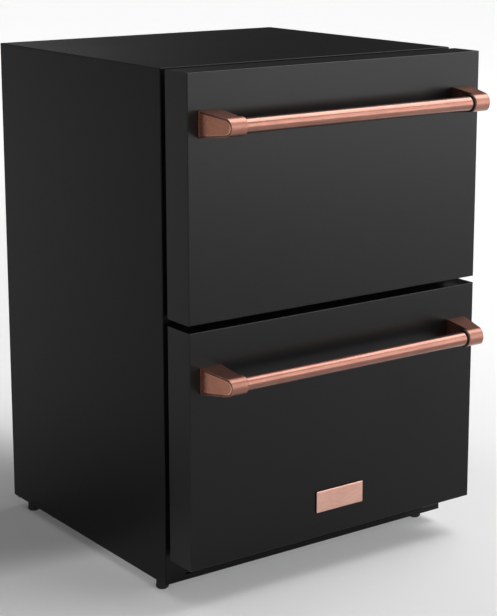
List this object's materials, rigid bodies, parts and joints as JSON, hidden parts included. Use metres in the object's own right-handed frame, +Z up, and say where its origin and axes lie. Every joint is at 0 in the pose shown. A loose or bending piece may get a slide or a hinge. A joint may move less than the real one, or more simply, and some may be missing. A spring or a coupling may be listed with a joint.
{
  "type": "undercounter freezer drawer",
  "caption": "Undercounter freezer with an upper and a lower drawer on telescopic rails, bar handles, a vented toe kick and levelling legs, with its cooling machinery inside.",
  "frame": {"origin": "on the floor, under the middle of the whole object with its drawers closed", "axes": "+X to the right as seen from the front, +Y towards the back, +Z up; the drawers open towards -Y"},
  "size_m": [0.6, 0.671, 0.876],
  "materials": {
    "black_painted_steel": "satin black powder paint on steel sheet",
    "galvanised_steel": "hot-dip galvanised steel sheet",
    "zinc_plated_steel": "bright zinc plating",
    "copper_coloured_metal": "brushed, copper-coloured coating on stainless steel",
    "copper_tube": "drawn copper tube",
    "aluminium_fins": "mill-finish aluminium",
    "black_painted_coil": "black dip paint on steel tube and fins",
    "black_enamelled_steel": "black enamel on pressed steel",
    "rail_steel": "zinc-plated rolled steel",
    "heater_steel": "stainless steel heater sheath",
    "polyurethane_foam": "rigid polyurethane foam",
    "white_liner_plastic": "vacuum-formed polystyrene",
    "white_moulded_plastic": "moulded polypropylene",
    "clear_divider_plastic": "moulded polystyrene",
    "black_moulded_plastic": "moulded ABS",
    "black_gloss_plastic": "polished ABS",
    "grey_button_plastic": "moulded ABS",
    "lamp_diffuser": "frosted polycarbonate",
    "black_rubber": "moulded rubber",
    "grey_gasket": "extruded flexible PVC with a magnet strip"
  },
  "bodies": {
    "cabinet": {"base_pan": "galvanised_steel", "base_screws": "zinc_plated_steel", "bottom_bar": "black_painted_steel", "cabinet_foam": "polyurethane_foam", "cabinet_wrap": "black_painted_steel", "compressor": "black_enamelled_steel", "compressor_mounts": "black_rubber", "condenser_coil": "black_painted_coil", "condenser_fan_motor": "black_enamelled_steel", "condenser_fan_shroud": "galvanised_steel", "control_panel": "black_gloss_plastic", "cord_inlet": "black_moulded_plastic", "defrost_heater": "heater_steel", "drain_pan": "black_moulded_plastic", "evaporator_coil": "aluminium_fins", "evaporator_cover": "white_moulded_plastic", "evaporator_fan_motor": "black_enamelled_steel", "inner_liner": "white_liner_plastic", "led_lamp": "lamp_diffuser", "lower_outer_rails": "rail_steel", "mullion_bar": "black_painted_steel", "rear_panel": "galvanised_steel", "refrigerant_lines": "copper_tube", "toe_grille": "black_moulded_plastic", "toe_kick_plate": "black_painted_steel", "upper_outer_rails": "rail_steel"},
    "upper_drawer": {"upper_front_skin": "black_painted_steel", "upper_front_foam": "polyurethane_foam", "upper_front_inner_panel": "white_liner_plastic", "upper_gasket": "grey_gasket", "upper_handle_bar": "copper_coloured_metal", "upper_handle_bracket_left": "copper_coloured_metal", "upper_handle_bracket_right": "copper_coloured_metal", "upper_handle_caps": "copper_coloured_metal", "upper_inner_rails": "rail_steel", "upper_tub": "white_moulded_plastic"},
    "lower_drawer": {"lower_front_skin": "black_painted_steel", "lower_front_foam": "polyurethane_foam", "lower_front_inner_panel": "white_liner_plastic", "lower_gasket": "grey_gasket", "lower_handle_bar": "copper_coloured_metal", "lower_handle_bracket_left": "copper_coloured_metal", "lower_handle_bracket_right": "copper_coloured_metal", "lower_handle_caps": "copper_coloured_metal", "lower_inner_rails": "rail_steel", "lower_tub": "white_moulded_plastic", "badge_plate": "copper_coloured_metal"},
    "upper_middle_rails": {"upper_middle_rails": "rail_steel"},
    "upper_divider": {"upper_divider": "clear_divider_plastic"},
    "lower_middle_rails": {"lower_middle_rails": "rail_steel"},
    "lower_divider": {"lower_divider": "clear_divider_plastic"},
    "condenser_fan_blade": {"condenser_fan_blade": "black_moulded_plastic"},
    "evaporator_fan_blade": {"evaporator_fan_blade": "white_moulded_plastic"},
    "button_power": {"button_power": "grey_button_plastic"},
    "button_colder": {"button_colder": "grey_button_plastic"},
    "button_warmer": {"button_warmer": "grey_button_plastic"},
    "levelling_leg_front_left": {"levelling_leg_front_left": "black_moulded_plastic"},
    "levelling_leg_front_right": {"levelling_leg_front_right": "black_moulded_plastic"},
    "levelling_leg_rear_left": {"levelling_leg_rear_left": "black_moulded_plastic"},
    "levelling_leg_rear_right": {"levelling_leg_rear_right": "black_moulded_plastic"}
  },
  "joints": [
    {"name": "upper_drawer_slide", "type": "slide", "parent": "cabinet", "child": "upper_drawer", "axis": [0, -1, 0], "range_m": [0, 0.4]},
    {"name": "upper_middle_slide", "type": "slide", "parent": "cabinet", "child": "upper_middle_rails", "axis": [0, -1, 0], "range_m": [0, 0.2]},
    {"name": "lower_drawer_slide", "type": "slide", "parent": "cabinet", "child": "lower_drawer", "axis": [0, -1, 0], "range_m": [0, 0.4]},
    {"name": "lower_middle_slide", "type": "slide", "parent": "cabinet", "child": "lower_middle_rails", "axis": [0, -1, 0], "range_m": [0, 0.2]},
    {"name": "upper_divider_slide", "type": "slide", "parent": "upper_drawer", "child": "upper_divider", "axis": [0, 1, 0], "range_m": [-0.18, 0.185]},
    {"name": "lower_divider_slide", "type": "slide", "parent": "lower_drawer", "child": "lower_divider", "axis": [0, 1, 0], "range_m": [-0.11, 0.11]},
    {"name": "condenser_fan_spin", "type": "hinge", "parent": "cabinet", "child": "condenser_fan_blade", "pos_m": [-0.16, 0.1945, 0.128], "axis": [0, 1, 0], "continuous": true},
    {"name": "evaporator_fan_spin", "type": "hinge", "parent": "cabinet", "child": "evaporator_fan_blade", "pos_m": [0, 0.2435, 0.66], "axis": [0, 1, 0], "continuous": true},
    {"name": "button_power_press", "type": "slide", "parent": "cabinet", "child": "button_power", "axis": [0, 1, 0], "range_m": [0, 0.001], "stiffness_N_per_m": 500},
    {"name": "button_colder_press", "type": "slide", "parent": "cabinet", "child": "button_colder", "axis": [0, 1, 0], "range_m": [0, 0.001], "stiffness_N_per_m": 500},
    {"name": "button_warmer_press", "type": "slide", "parent": "cabinet", "child": "button_warmer", "axis": [0, 1, 0], "range_m": [0, 0.001], "stiffness_N_per_m": 500},
    {"name": "leg_front_left_screw", "type": "slide", "parent": "cabinet", "child": "levelling_leg_front_left", "axis": [0, 0, -1], "range_m": [0, 0.02]},
    {"name": "leg_front_right_screw", "type": "slide", "parent": "cabinet", "child": "levelling_leg_front_right", "axis": [0, 0, -1], "range_m": [0, 0.02]},
    {"name": "leg_rear_left_screw", "type": "slide", "parent": "cabinet", "child": "levelling_leg_rear_left", "axis": [0, 0, -1], "range_m": [0, 0.02]},
    {"name": "leg_rear_right_screw", "type": "slide", "parent": "cabinet", "child": "levelling_leg_rear_right", "axis": [0, 0, -1], "range_m": [0, 0.02]}
  ],
  "couplings": [
    {"joint": "upper_middle_slide", "follows": "upper_drawer_slide", "ratio": 0.5},
    {"joint": "lower_middle_slide", "follows": "lower_drawer_slide", "ratio": 0.5}
  ]
}
